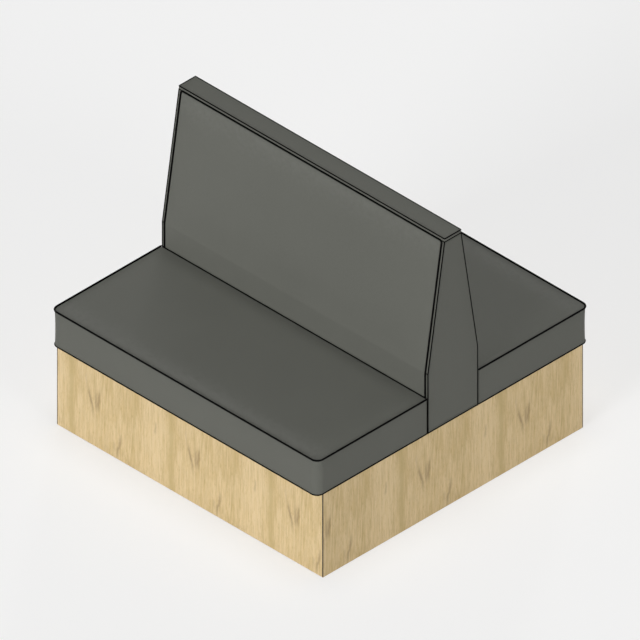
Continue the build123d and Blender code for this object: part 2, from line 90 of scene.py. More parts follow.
class Finish:
    """A material and short ways to add nodes to it."""

    def __init__(self, name):
        self.material = bpy.data.materials.new(name)
        self.material.use_nodes = True
        self.tree = self.material.node_tree
        self.tree.nodes.clear()
        self.shader = self.node("ShaderNodeBsdfPrincipled")
        output = self.node("ShaderNodeOutputMaterial")
        self.tree.links.new(self.shader.outputs[0], output.inputs[0])
        self.place = self.node("ShaderNodeTexCoord").outputs["Object"]
        self.normal = self.node("ShaderNodeNewGeometry").outputs["Normal"]

    def node(self, kind, **settings):
        made = self.tree.nodes.new(kind)
        for key, value in settings.items():
            setattr(made, key, value)
        return made

    def put(self, socket, value):
        if isinstance(value, bpy.types.NodeSocket):
            self.tree.links.new(value, socket)
        else:
            socket.default_value = value

    def math(self, operation, *values, clamp=False):
        made = self.node("ShaderNodeMath", operation=operation, use_clamp=clamp)
        for socket, value in zip(made.inputs, values):
            self.put(socket, value)
        return made.outputs[0]

    def add(self, *terms):
        """Terms added up, each a value or a pair of a value and its share."""
        values = [self.times(*term) if isinstance(term, tuple) else term for term in terms]
        total = values[0]
        for value in values[1:]:
            total = self.math("ADD", total, value)
        return total

    def times(self, *values):
        total = values[0]
        for value in values[1:]:
            total = self.math("MULTIPLY", total, value)
        return total

    def ramp(self, value, low, high, out_low=0.0, out_high=1.0):
        """A smooth step as a value goes from low to high."""
        made = self.node("ShaderNodeMapRange", interpolation_type="SMOOTHSTEP")
        for socket, item in zip(made.inputs, (value, low, high, out_low, out_high)):
            self.put(socket, item)
        return made.outputs[0]

    def parts(self, vector):
        made = self.node("ShaderNodeSeparateXYZ")
        self.put(made.inputs[0], vector)
        return made.outputs

    def vector(self, x, y, z):
        made = self.node("ShaderNodeCombineXYZ")
        for socket, value in zip(made.inputs, (x, y, z)):
            self.put(socket, value)
        return made.outputs[0]

    def stretched(self, vector, x, y, z):
        made = self.node("ShaderNodeVectorMath", operation="MULTIPLY")
        self.put(made.inputs[0], vector)
        made.inputs[1].default_value = (x, y, z)
        return made.outputs[0]

    def noise(self, vector, scale, detail=2.0, rough=0.5):
        made = self.node("ShaderNodeTexNoise")
        self.put(made.inputs["Vector"], vector)
        made.inputs["Scale"].default_value = scale
        made.inputs["Detail"].default_value = detail
        made.inputs["Roughness"].default_value = rough
        return made.outputs[0]

    def cells(self, vector, scale):
        """How far each point is from the rim of the cell that it lies in."""
        made = self.node("ShaderNodeTexVoronoi", feature="DISTANCE_TO_EDGE")
        self.put(made.inputs["Vector"], vector)
        made.inputs["Scale"].default_value = scale
        return made.outputs["Distance"]

    def blend(self, share, first, second):
        made = self.node("ShaderNodeMix", data_type="RGBA")
        self.put(made.inputs["Factor"], share)
        for socket, value in ((made.inputs[6], first), (made.inputs[7], second)):
            self.put(socket, (*value, 1.0) if isinstance(value, tuple) else value)
        return made.outputs[2]

    def shaded(self, colour, factor):
        made = self.node("ShaderNodeVectorMath", operation="SCALE")
        self.put(made.inputs[0], colour)
        self.put(made.inputs["Scale"], factor)
        return made.outputs[0]

    def mark(self, name):
        return self.node("ShaderNodeAttribute", attribute_name=name).outputs["Fac"]

    def finish(self, colour, rough, height, depth, **constants):
        self.put(self.shader.inputs["Base Color"], colour)
        self.put(self.shader.inputs["Roughness"], rough)
        for key, value in constants.items():
            self.shader.inputs[key.replace("_", " ")].default_value = value
        bump = self.node("ShaderNodeBump")
        bump.inputs["Strength"].default_value = 1.0
        bump.inputs["Distance"].default_value = depth
        self.put(bump.inputs["Height"], height)
        self.put(self.shader.inputs["Normal"], bump.outputs[0])
        return self.material


# Vinyl

pebble_drift = 4.0 * mm
pebble_rim = 0.22
pores_to_pebbles = 3.2
crease_stretch = (1.0, 1.6, 1.3)
vinyl_depth = 0.4 * mm


def vinyl_finish(name, colour, worn_and_sheen, rough, grain, gloss):
    """Upholstery vinyl with a pebbled grain, faint mottling and wear where it is rubbed. Where
    worn it is smoother and lighter: the lighter colour is partly real wear and partly painted
    sheen.
    """
    f = Finish(name)
    drift = f.noise(f.place, scale=60.0)
    warped = f.node("ShaderNodeVectorMath", operation="ADD")
    f.put(warped.inputs[0], f.place)
    f.put(warped.inputs[1], f.shaded(f.vector(drift, drift, drift), pebble_drift))
    pebbles = f.ramp(f.cells(warped.outputs[0], grain), 0.0, pebble_rim)
    pores = f.noise(f.place, scale=grain * pores_to_pebbles, detail=3.0, rough=0.6)
    folds = f.noise(f.stretched(f.place, *crease_stretch), scale=38.0, detail=4.0, rough=0.65)
    creases = f.ramp(folds, 0.47, 0.53)
    cloudy = f.noise(f.place, scale=4.5, detail=4.0, rough=0.55)
    fine = f.noise(f.place, scale=26.0, detail=3.0, rough=0.6)
    wear_and_sheen = f.mark("wear_and_sheen")
    wear_and_sheen_patches = f.noise(f.place, scale=75.0, detail=4.0, rough=0.7)
    scuffs_and_sheen = f.ramp(f.times(wear_and_sheen, wear_and_sheen_patches), 0.22, 0.6)
    tone = f.add(0.873, (cloudy, 0.11), (fine, 0.06), (pebbles, 0.065))
    # Lighter where rubbed: partly real wear, partly painted sheen.
    base = f.blend(f.times(scuffs_and_sheen, 0.3), colour, worn_and_sheen)
    roughness = f.add(
        rough, (f.add(cloudy, -0.5), 0.18), (f.add(fine, -0.5), 0.1), (wear_and_sheen, -0.07)
    )
    height = f.add((pebbles, 0.75), (pores, 0.3), (creases, 0.12))
    return f.finish(
        f.shaded(base, tone), roughness, height, vinyl_depth, Specular_IOR_Level=gloss
    )


# Laminate

figure_repeat = 457.2 * mm
figure_shift_x = 441.6 * mm
figure_shift_y = 133.9 * mm
figure_drift = 18.0 * mm
pale_wood = (0.712, 0.55, 0.318)
dark_wood = (0.49, 0.356, 0.155)
warm_wood = (0.74, 0.48, 0.13)
olive_wood = (0.45, 0.335, 0.135)
brown_wood = (0.27, 0.18, 0.085)
core_colour = (0.025, 0.014, 0.007)
scuff_colour = (0.2, 0.15, 0.1)
core_line = 3.0 * mm
scuff_height = 50.0 * mm
laminate_depth = 0.06 * mm

# Streaks of the print: noise scale, stretch upwards, detail, roughness and shift

streak_layers = {
    "broad": (26.0, 0.3, 3.0, 0.55, 0.0),
    "bands": (100.0, 0.09, 4.0, 0.65, 3.0),
    "lines": (260.0, 0.038, 5.0, 0.78, 7.0),
    "hairs": (800.0, 0.02, 3.0, 0.65, 11.0),
    "flecks": (330.0, 0.14, 2.0, 0.6, 17.0),
    "drift": (40.0, 0.8, 4.0, 0.65, 23.0),
    "warmth": (70.0, 0.3, 3.0, 0.6, 29.0),
}

# Soft bands along one repeat: the middle, the width, and the share of tone that each adds

dark_bands = (
    (-0.175, 0.045, -0.24),
    (0.165, 0.05, 0.12),
    (0.019, 0.01, 0.1),
    (0.094, 0.008, -0.12),
)
olive_bands = ((-0.101, 0.015, 0.6), (0.186, 0.01, 0.2))

# Brown marks in one repeat: low and high end (along the face, height), width and strength

brown_marks = (
    ((-0.006, 0.143), (-0.021, 0.216), 0.0056, 1.0),
    ((0.012, 0.146), (0.011, 0.214), 0.0052, 0.8),
    ((0.022, 0.152), (0.026, 0.222), 0.006, 0.95),
    ((0.0, 0.120), (-0.003, 0.150), 0.006, 0.3),
    ((0.108, 0.014), (0.125, 0.094), 0.006, 0.95),
    ((0.096, 0.030), (0.094, 0.060), 0.005, 0.4),
    ((-0.176, 0.190), (-0.172, 0.230), 0.0055, 0.6),
    ((-0.03, 0.215), (-0.034, 0.275), 0.0045, 0.35),
)
mark_fade_share = 0.3


def laminate_finish():
    """Pale wood-grain laminate. Its figure repeats along each face, as the printed sheet does."""
    f = Finish("wood_laminate_finish")
    x, y, z = f.parts(f.place)[0:3]
    on_long_face = f.math("GREATER_THAN", f.math("ABSOLUTE", f.parts(f.normal)[1]), 0.5)
    on_short_face = f.math("SUBTRACT", 1.0, on_long_face)
    along = f.add(
        (on_long_face, f.add(x, figure_shift_x)), (on_short_face, f.add(y, figure_shift_y))
    )
    half_repeat = figure_repeat / 2
    t = f.add(f.math("FLOORED_MODULO", f.add(along, half_repeat), figure_repeat), -half_repeat)
    turn = f.times(t, 2 * math.pi / figure_repeat)
    ring_radius = figure_repeat / (2 * math.pi)
    ring_x = f.times(f.math("COSINE", turn), ring_radius)
    ring_y = f.times(f.math("SINE", turn), ring_radius)

    def streaks(name):
        """Noise on a ring, so that it meets itself where the figure repeats."""
        scale, stretch, detail, rough, shift = streak_layers[name]
        spot = f.vector(ring_x, ring_y, f.add((z, stretch), shift))
        return f.noise(spot, scale, detail, rough)

    lines, hairs = streaks("lines"), streaks("hairs")
    flecks = f.ramp(streaks("flecks"), 0.56, 0.7)
    place = f.add(t, (f.add(streaks("drift"), -0.5), figure_drift))

    def bell(middle, width):
        """A soft band along the face, 1 at its middle."""
        off = f.times(f.math("SUBTRACT", place, middle), 1 / width)
        return f.math("EXPONENT", f.times(off, off, -1.0))

    def mark(low, high, width, strength):
        """A soft short mark from its low end to its high end."""
        middle = f.add(low[0], (f.ramp(z, low[1], high[1]), high[0] - low[0]))
        fade = mark_fade_share * (high[1] - low[1])
        begins = f.ramp(z, low[1] - fade, low[1] + fade)
        ends = f.ramp(z, high[1] - fade, high[1] + fade, 1.0, 0.0)
        return f.times(bell(middle, width), begins, ends, strength)

    dark_share = f.add(
        3.445,
        f.add(*((bell(middle, width), share) for middle, width, share in dark_bands)),
        (streaks("broad"), -1.02),
        (streaks("bands"), -1.16),
        (lines, -2.88),
        (hairs, -1.1),
        (flecks, 0.45),
    )
    dark_share = f.math("MAXIMUM", 0.0, f.math("MINIMUM", dark_share, 1.0))
    warm_share = f.times(f.ramp(streaks("warmth"), 0.42, 0.62), 0.06)
    olive_share = f.add(*((bell(middle, width), share) for middle, width, share in olive_bands))
    marks = f.math("MINIMUM", f.add(*(mark(*row) for row in brown_marks)), 1.0)
    fibres = f.math("ADD", 0.1, f.times(lines, 1.7), clamp=True)
    base = f.blend(dark_share, pale_wood, dark_wood)
    base = f.blend(warm_share, base, warm_wood)
    base = f.blend(olive_share, base, olive_wood)
    base = f.blend(f.times(marks, fibres, 0.68), base, brown_wood)
    wood = f.shaded(base, f.add(0.97, (f.noise(f.place, scale=700.0), 0.06)))
    near_end = f.math("GREATER_THAN", f.math("ABSOLUTE", x), half_length - core_line)
    near_side = f.math("GREATER_THAN", f.math("ABSOLUTE", y), half_base - core_line)
    kicks = f.ramp(f.noise(f.place, scale=30.0, detail=4.0, rough=0.7), 0.45, 0.7)
    scuff = f.times(f.ramp(z, scuff_height, 0.0), kicks)
    coloured = f.blend(f.times(near_end, near_side, 0.98), wood, core_colour)
    coloured = f.blend(f.times(scuff, 0.16), coloured, scuff_colour)
    roughness = f.add(0.42, (lines, 0.1), (scuff, 0.12))
    height = f.add((lines, 0.6), (hairs, 0.4))
    return f.finish(coloured, roughness, height, laminate_depth, Specular_IOR_Level=0.35)


# Timber and zinc

grain_squeeze = 0.06
ply_pitch = 2.77 * mm
timber_depth = 0.2 * mm
zinc_depth = 0.04 * mm
bright_zinc = (0.60, 0.62, 0.66)
dull_zinc = (0.47, 0.47, 0.46)


def timber_finish(name, long_axis, pale, dark, thin_axis=None):
    """Raw timber with its grain along one axis.

    With a thin axis it is plywood, and its edges show plies.
    """
    f = Finish(name)
    squeeze = [1.0, 1.0, 1.0]
    squeeze[long_axis] = grain_squeeze
    spot = f.stretched(f.place, *squeeze)
    grain = f.noise(spot, scale=130.0, detail=4.0, rough=0.6)
    figure = f.noise(spot, scale=22.0, detail=3.0, rough=0.55)
    pores = f.noise(spot, scale=620.0, rough=0.6)
    rings = f.math("SINE", f.times(figure, 46.0))
    share = f.math("ADD", f.times(grain, 0.7), f.times(rings, 0.16), clamp=True)
    base = f.blend(share, pale, dark)
    height = f.add((grain, 0.6), (pores, 0.5))
    if thin_axis is not None:
        on_edge = f.math("LESS_THAN", f.math("ABSOLUTE", f.parts(f.normal)[thin_axis]), 0.5)
        ply = f.times(f.parts(f.place)[thin_axis], 2 * math.pi / ply_pitch)
        stripes = f.ramp(f.math("SINE", ply), -0.35, 0.35)
        layers = f.blend(stripes, tuple(0.62 * c for c in dark), tuple(0.95 * c for c in pale))
        uneven = f.noise(f.place, scale=240.0, detail=3.0)
        base = f.blend(on_edge, base, f.shaded(layers, f.add(0.8, (uneven, 0.36))))
        height = f.add(height, (on_edge, stripes))
    roughness = f.add(0.62, (pores, 0.2))
    toned = f.shaded(base, f.add(0.9, (pores, 0.2)))
    return f.finish(toned, roughness, height, timber_depth)


def zinc_finish():
    """Bright zinc plating with faint brush marks and dull patches."""
    f = Finish("zinc_steel_finish")
    patches = f.noise(f.place, scale=90.0, detail=4.0, rough=0.6)
    marks = f.noise(f.stretched(f.place, 1.0, 1.0, 14.0), scale=260.0, detail=3.0, rough=0.6)
    base = f.blend(f.ramp(patches, 0.35, 0.7), bright_zinc, dull_zinc)
    roughness = f.add(0.24, (patches, 0.2), (marks, 0.1))
    return f.finish(base, roughness, marks, zinc_depth, Metallic=1.0)


grey_vinyl = vinyl_finish(
    "grey_vinyl_finish",
    colour=(0.1168, 0.1193, 0.1043),
    # Colour where worn: partly real wear, partly painted sheen.
    worn_and_sheen=(0.17, 0.172, 0.16),
    rough=0.52,
    grain=430.0,
    gloss=0.16,
)
# Black vinyl for the piping and seams, and for the cords that are painted shade.
black_vinyl = vinyl_finish(
    "black_welt_and_shade_cord_finish",
    colour=(0.0015, 0.0015, 0.0015),
    worn_and_sheen=(0.006, 0.006, 0.006),
    rough=0.42,
    grain=900.0,
    gloss=0.02,
)
plain_finishes = {"wood_laminate": laminate_finish(), "zinc_steel": zinc_finish()}
timber_colours = {
    "plywood": ((0.70, 0.52, 0.32), (0.52, 0.35, 0.19)),
    "softwood": ((0.74, 0.56, 0.33), (0.55, 0.35, 0.16)),
}
made_timber = {}


def timber(node, kind):
    """The timber material that suits a board's own directions."""
    low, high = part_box(node)
    spans = [high[i] - low[i] for i in range(3)]
    long_axis = spans.index(max(spans))
    thin_axis = spans.index(min(spans)) if kind == "plywood" else None
    axes = "xyz"[long_axis] + ("" if thin_axis is None else "xyz"[thin_axis])
    name = f"{kind}_{axes}_finish"
    if name not in made_timber:
        made_timber[name] = timber_finish(name, long_axis, *timber_colours[kind], thin_axis)
    return made_timber[name]


slot_of = {part["node"]: part["material_slot"] for part in frame["record"]["subparts"]}
for node, piece in frame["nodes"].items():
    kind = slot_of[node]
    if kind in timber_colours:
        chosen = timber(node, kind)
    else:
        chosen = plain_finishes.get(kind, grey_vinyl)
    for place in piece.material_slots:
        place.material = chosen


# Mesh making

cloth_settings = {
    "quality": 5,
    "mass": 0.3,
    "tension_stiffness": 12,
    "compression_stiffness": 12,
    "shear_stiffness": 4,
    "bending_stiffness": 2,
    "use_pressure": True,
    "uniform_pressure_force": 4,
    "vertex_group_mass": "held",
    "pin_stiffness": 1,
}
cloth_frames = 20
square_corner_share = 0.9
dome_share = 0.5
across_no_cord = (0.3, 0.5, 0.81)


def plain_mesh(name, points, faces):
    mesh = bpy.data.meshes.new(name)
    mesh.from_pydata([tuple(p) for p in points], [], [tuple(int(i) for i in f) for f in faces])
    return mesh


def new_piece(name, points, faces, material, body, slot, replaced=()):
    """A smooth mesh that rides on a body and stands for some nodes."""
    mesh = plain_mesh(name, points, faces)
    mesh.validate()
    mesh.materials.append(material)
    mesh.polygons.foreach_set("use_smooth", [True] * len(mesh.polygons))
    piece = bpy.data.objects.new(name, mesh)
    bpy.context.scene.collection.objects.link(piece)
    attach(piece, body)
    if replaced:
        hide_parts(*replaced)
    return piece


def spaced(low, high, step):
    """Evenly spaced values from low to high, about a step apart."""
    count = max(1, round(abs(high - low) / step))
    return list(np.linspace(low, high, count + 1))


def joined(*runs):
    """Runs of values in one list, each shared end kept once."""
    values = list(runs[0])
    for run in runs[1:]:
        values += list(run)[1:]
    return np.array(values)


def around(nu, nv):
    """Indices round the border of a grid, anticlockwise from its first corner."""
    border = [(i, 0) for i in range(nu)]
    border += [(nu, j) for j in range(nv)]
    border += [(i, nv) for i in range(nu, 0, -1)]
    border += [(0, j) for j in range(nv, 0, -1)]
    return border


class Form:
    """A closed soft form: a face made of a grid, rings that go round its edge, and a back.

    The face is laid out flat in u and v. place(u, v, depth) puts its points in space, and
    depth goes into the form. Rounded corners are named by their signs in u and v.
    """

    def __init__(self, us, vs, corner, rounded, outsets, place):
        self.vs = vs
        self.nu, self.nv = len(us) - 1, len(vs) - 1
        self.place = place
        middle_u, middle_v = (us[0] + us[-1]) / 2, (vs[0] + vs[-1]) / 2
        half_u, half_v = (us[-1] - us[0]) / 2, (vs[-1] - vs[0]) / 2
        u, v = np.meshgrid(us - middle_u, vs - middle_v, indexing="ij")
        normal = {}
        for su, sv in rounded:
            du = (su * u - (half_u - corner)) / corner
            dv = (sv * v - (half_v - corner)) / corner
            inside = (du > tiny) & (dv > tiny)
            s, t = np.clip(du, 0, 1), np.clip(dv, 0, 1)
            eu, ev = s * np.sqrt(1 - t * t / 2), t * np.sqrt(1 - s * s / 2)
            u = np.where(inside, su * (half_u - corner + corner * eu), u)
            v = np.where(inside, sv * (half_v - corner + corner * ev), v)
            for i, j in zip(*np.nonzero(inside)):
                normal[(i, j)] = (su * eu[i, j], sv * ev[i, j])
        self.u, self.v = u + middle_u, v + middle_v
        self.border = around(self.nu, self.nv)
        self.edge = np.array([(self.u[b], self.v[b]) for b in self.border])
        left, right, low, high = outsets
        outline = []
        for (i, j), (pu, pv) in zip(self.border, self.edge):
            out_u = -left if i == 0 else right if i == self.nu else 0.0
            out_v = -low if j == 0 else high if j == self.nv else 0.0
            if (i, j) in normal:
                normal_u, normal_v = normal[(i, j)]
                size = math.hypot(normal_u, normal_v)
                out = max(outsets)
                out_u, out_v = out * normal_u / size, out * normal_v / size
            elif out_u and out_v:
                out_u, out_v = square_corner_share * out_u, square_corner_share * out_v
            outline.append((pu + out_u, pv + out_v))
        self.outline = np.array(outline)
        self.rolls = np.linalg.norm(self.outline - self.edge, axis=1)
        self.points = [place(self.u.ravel(), self.v.ravel(), np.zeros(self.u.size))]
        self.count = self.u.size
        self.ring_ids = [np.array([i * (self.nv + 1) + j for i, j in self.border])]
        self.faces = []
        for i in range(self.nu):
            for j in range(self.nv):
                a = i * (self.nv + 1) + j
                self.faces.append((a, a + self.nv + 1, a + self.nv + 2, a + 1))

    def ring(self, flat, depth):
        """Adds a ring at places in the flat layout and a depth, and joins it to the last one."""
        depth = np.broadcast_to(depth, (len(flat),))
        self.points.append(self.place(flat[:, 0], flat[:, 1], depth))
        ids = np.arange(self.count, self.count + len(flat))
        self.count += len(flat)
        last = self.ring_ids[-1]
        for k in range(len(ids)):
            m = (k + 1) % len(ids)
            self.faces.append((ids[k], ids[m], last[m], last[k]))
        self.ring_ids.append(ids)

    def roll(self, degrees, notch_at=None, notch=0.0):
        """Rings over the rounded edge, with a seam's notch at one angle."""
        for angle in degrees:
            a = math.radians(angle)
            pull = notch if angle == notch_at else 0.0
            out = self.edge + (self.outline - self.edge) * (math.sin(a) * (1 - pull))
            self.ring(out, self.rolls * (1 - math.cos(a) * (1 - pull)))

    def shrunk(self, inset):
        """The outline drawn in by an inset without losing its corners."""
        middle = (self.outline.max(axis=0) + self.outline.min(axis=0)) / 2
        half = (self.outline.max(axis=0) - self.outline.min(axis=0)) / 2
        return middle + (self.outline - middle) * (half - inset) / half

    def close(self, depth):
        """A grid over the last ring."""
        ids = np.full((self.nu + 1, self.nv + 1), -1)
        for k, (i, j) in enumerate(self.border):
            ids[i, j] = self.ring_ids[-1][k]
        inner = [(i, j) for i in range(1, self.nu) for j in range(1, self.nv)]
        flat = np.array([(self.u[i, j], self.v[i, j]) for i, j in inner])
        self.points.append(self.place(flat[:, 0], flat[:, 1], np.full(len(flat), depth)))
        for k, (i, j) in enumerate(inner):
            ids[i, j] = self.count + k
        for i in range(self.nu):
            for j in range(self.nv):
                self.faces.append((ids[i, j], ids[i, j + 1], ids[i + 1, j + 1], ids[i + 1, j]))

    def all_points(self):
        return np.vstack(self.points)

    def reach_v(self):
        """How far each point of the face lies from its nearer end in v, 1 at the middle."""
        low, high = self.vs[0], self.vs[-1]
        return 1 - np.abs(self.v.ravel() - (low + high) / 2) / ((high - low) / 2)


def to_rear(points, faces):
    """The mirror image of a front piece on the other side of the booth."""
    return points * np.array([1.0, -1.0, 1.0]), [tuple(reversed(f)) for f in faces]


def freedom(reach_u, reach_v, rates, gain):
    """Shares of freedom that rise from nothing at a face's edges."""
    rise = np.clip(reach_u * rates[0], 0, 1) * np.clip(reach_v * rates[1], 0, 1)
    return np.clip(rise * gain, 0, 1)


def edge_wear_and_sheen(off, over, least, most):
    """Wear that falls off with the distance from an edge; its lighter colour is partly painted
    sheen.
    """
    return least + (most - least) * np.exp(-((off / over) ** 2))


def inflated(points, faces, free, limit):
    """Points of a closed form after its free points have swelled under pressure as cloth.

    free gives each point's share of freedom, and limit how far each may move, in metres.
    """
    mesh = plain_mesh("cloth", points, faces)
    body = bpy.data.objects.new("cloth", mesh)
    scene = bpy.context.scene
    scene.collection.objects.link(body)
    held = body.vertex_groups.new(name=cloth_settings["vertex_group_mass"])
    held_shares = np.round(1 - free, 3)
    for share in np.unique(held_shares):
        ids = np.nonzero(held_shares == share)[0]
        held.add([int(i) for i in ids], float(share), "REPLACE")
    cloth = body.modifiers.new("cloth", "CLOTH")
    for key, value in cloth_settings.items():
        setattr(cloth.settings, key, value)
    cloth.settings.effector_weights.gravity = 0
    cloth.point_cache.frame_start = 1
    cloth.point_cache.frame_end = cloth_frames
    for number in range(1, cloth_frames + 1):
        scene.frame_set(number)
    shown = body.evaluated_get(bpy.context.evaluated_depsgraph_get())
    moved = np.empty(len(points) * 3)
    shown.to_mesh().vertices.foreach_get("co", moved)
    shown.to_mesh_clear()
    scene.frame_set(1)
    bpy.data.objects.remove(body)
    bpy.data.meshes.remove(mesh)
    step = moved.reshape(-1, 3) - points
    size = np.linalg.norm(step, axis=1)
    most = np.maximum(limit, tiny)
    return points + step * (most * np.tanh(size / most) / np.maximum(size, tiny))[:, None]


def tube(path, radius, sides, closed=False):
    """Points and faces of a round cord along a path, with domed ends if it is open."""
    path = np.array(path)
    count = len(path)
    if closed:
        ahead = np.roll(path, -1, axis=0) - np.roll(path, 1, axis=0)
    else:
        ahead = np.gradient(path, axis=0)
    ahead /= np.linalg.norm(ahead, axis=1)[:, None]
    side = np.cross(ahead[0], across_no_cord)
    points, faces = [], []
    for k in range(count):
        side = side - ahead[k] * side.dot(ahead[k])
        side /= np.linalg.norm(side)
        other = np.cross(ahead[k], side)
        for m in range(sides):
            a = 2 * math.pi * m / sides
            points.append(path[k] + radius * (math.cos(a) * side + math.sin(a) * other))
    rows = count if closed else count - 1
    for k in range(rows):
        for m in range(sides):
            a, b = k * sides + m, k * sides + (m + 1) % sides
            c, d = ((k + 1) % count) * sides + (m + 1) % sides, ((k + 1) % count) * sides + m
            faces.append((a, d, c, b))
    if not closed:
        for row, sign in ((0, -1), (count - 1, 1)):
            tip = len(points)
            points.append(path[row] + sign * dome_share * radius * ahead[row])
            for m in range(sides):
                a, b = row * sides + m, row * sides + (m + 1) % sides
                faces.append((a, b, tip) if sign < 0 else (b, a, tip))
    return np.array(points), faces


def rounded_path(corners, radii, step, turns=10):
    """A path through flat points, with its inner corners rounded."""
    corners = [np.array(c, float) for c in corners]
    path = [corners[0]]
    for before, here, after, radius in zip(corners, corners[1:], corners[2:], radii):
        back = (before - here) / np.linalg.norm(before - here)
        on = (after - here) / np.linalg.norm(after - here)
        half = math.acos(max(-1.0, min(1.0, back.dot(on)))) / 2
        reach = radius / math.tan(half)
        middle = here + (back + on) / np.linalg.norm(back + on) * radius / math.sin(half)
        first, last = here + back * reach, here + on * reach
        path += straight(path[-1], first, step)
        a0 = math.atan2(*(first - middle)[::-1])
        a1 = math.atan2(*(last - middle)[::-1])
        sweep = (a1 - a0 + math.pi) % (2 * math.pi) - math.pi
        for k in range(1, turns + 1):
            a = a0 + sweep * k / turns
            path.append(middle + radius * np.array([math.cos(a), math.sin(a)]))
    path += straight(path[-1], corners[-1], step)
    return np.array(path)


def straight(first, last, step):
    count = max(1, round(np.linalg.norm(last - first) / step))
    return [first + (last - first) * k / count for k in range(1, count + 1)]


def level(flat, z):
    """Flat points put at one height."""
    return np.column_stack([flat, np.full(len(flat), z)])


def joined_meshes(pieces):
    points, faces, start = [], [], 0
    for more, shape in pieces:
        points.append(more)
        faces += [tuple(i + start for i in face) for face in shape]
        start += len(more)
    return np.vstack(points), faces


def marked(piece, name, values):
    layer = piece.data.attributes.new(name, "FLOAT", "POINT")
    layer.data.foreach_set("value", np.asarray(values, dtype=np.float32))


def subdivided(piece):
    """Rounds a piece with one subdivision, applied to its mesh."""
    smooth = piece.modifiers.new("smooth", "SUBSURF")
    smooth.levels = smooth.render_levels = 1
    graph = bpy.context.evaluated_depsgraph_get()
    shown = piece.evaluated_get(graph)
    mesh = bpy.data.meshes.new_from_object(shown, preserve_all_data_layers=True, depsgraph=graph)
    piece.modifiers.remove(smooth)
    old = piece.data
    piece.data = mesh
    mesh.name = piece.name
    bpy.data.meshes.remove(old)


def new_welt(name, cord, body, node):
    """The piping along an edge, in place of its CAD welt."""
    subdivided(new_piece(name, *cord, black_vinyl, body, "black_welt", [node]))


def new_cushion(name, shape, wear_and_sheen, body, nodes):
    """A stuffed piece in grey vinyl, in place of its CAD foam and cover."""
    piece = new_piece(name, *shape, grey_vinyl, body, "grey_vinyl", nodes)
    marked(piece, "wear_and_sheen", wear_and_sheen)
    subdivided(piece)


# Seat cushions

seat_roll = 6.0 * mm
seat_rear_roll = 3.0 * mm
seat_corner = 25.4 * mm
seat_crown = 4.0 * mm
seat_bulge = 1.6 * mm
seat_bulge_over = 60.0 * mm
seat_bulge_freedom = 3.2
seat_foot_roll = 2.2 * mm
seat_foot_share = 0.3
seat_turn_under = 50.0 * mm
seat_vinyl = 1.2 * mm
seat_step = 12.0 * mm
seat_rim_steps = np.array([0.0, 2.0, 5.5, 10.0, 14.7, 19.4]) * mm
seat_rear_steps = (7.0 * mm, 2.0 * mm)
seat_roll_degrees = (16, 30, 39, 42.5, 45, 47.5, 51, 60, 75, 90)
seat_seam_degrees = 45
seat_seam_notch = 0.3
seat_side_rows = 11
seat_free_rates, seat_free_gain = (14, 6), 1.5
# Wear falls off from the front edge and down the sides; its lighter colour is partly painted
# sheen.
seat_wear_and_sheen_over = 90.0 * mm
seat_wear_and_sheen_shares = (0.25, 1.0)
seat_side_wear_and_sheen, seat_side_wear_and_sheen_fall, least_wear_and_sheen = 0.9, 0.09, 0.1
seat_welt_out = 0.4 * mm
# Black cords at the seat's foot and rear top edge: painted shade for the shadow lines there.
shade_cord_inset = 0.6 * mm
shade_cord_sunk = 0.8 * mm
shade_cord_raised = 0.7 * mm
shade_cord_corner = 3.0 * mm


def seat_place(u, v, depth):
    return np.stack([u, v, seat_top - depth], axis=1)


def seat_form():
    """The front cushion, with a hollow under it that its deck fits into."""
    inner = half_length - seat_roll
    left = -inner + seat_rim_steps
    front = -seat_front + seat_roll + seat_rim_steps
    back = -seat_rear - seat_rear_roll
    near_back = [back - step for step in seat_rear_steps]
    us = joined(left, spaced(left[-1], -left[-1], seat_step), -left[::-1])
    vs = joined(front, spaced(front[-1], near_back[0], seat_step), near_back, [0, back])
    outsets = (seat_roll, seat_roll, seat_roll, seat_rear_roll)
    form = Form(us, vs, seat_corner - seat_roll, [(-1, -1), (1, -1)], outsets, seat_place)
    form.rolls = np.where(form.rolls > (seat_roll + seat_rear_roll) / 2, seat_roll, form.rolls)
    form.roll(seat_roll_degrees, seat_seam_degrees, seat_seam_notch)
    height = seat_top - base_height
    form.sides = len(form.ring_ids)
    for share in np.linspace(0, 1, seat_side_rows + 1)[1:]:
        form.ring(form.outline, seat_roll + (height - seat_roll - seat_foot_roll) * share)
    foot_inset = seat_foot_share * seat_foot_roll
    form.ring(form.shrunk(foot_inset), height - foot_inset)
    form.feet = len(form.ring_ids)
    turned = height - seat_vinyl + fit
    hollow = seat_top - deck_top - fit
    for inset, depth in (
        (seat_foot_roll, height),
        (seat_turn_under / 2, height),
        (seat_turn_under, height),
        (seat_turn_under, turned),
        (seat_vinyl - fit, turned),
        (seat_vinyl - fit, hollow),
    ):
        form.ring(form.shrunk(inset), depth)
    form.close(hollow)
    return form


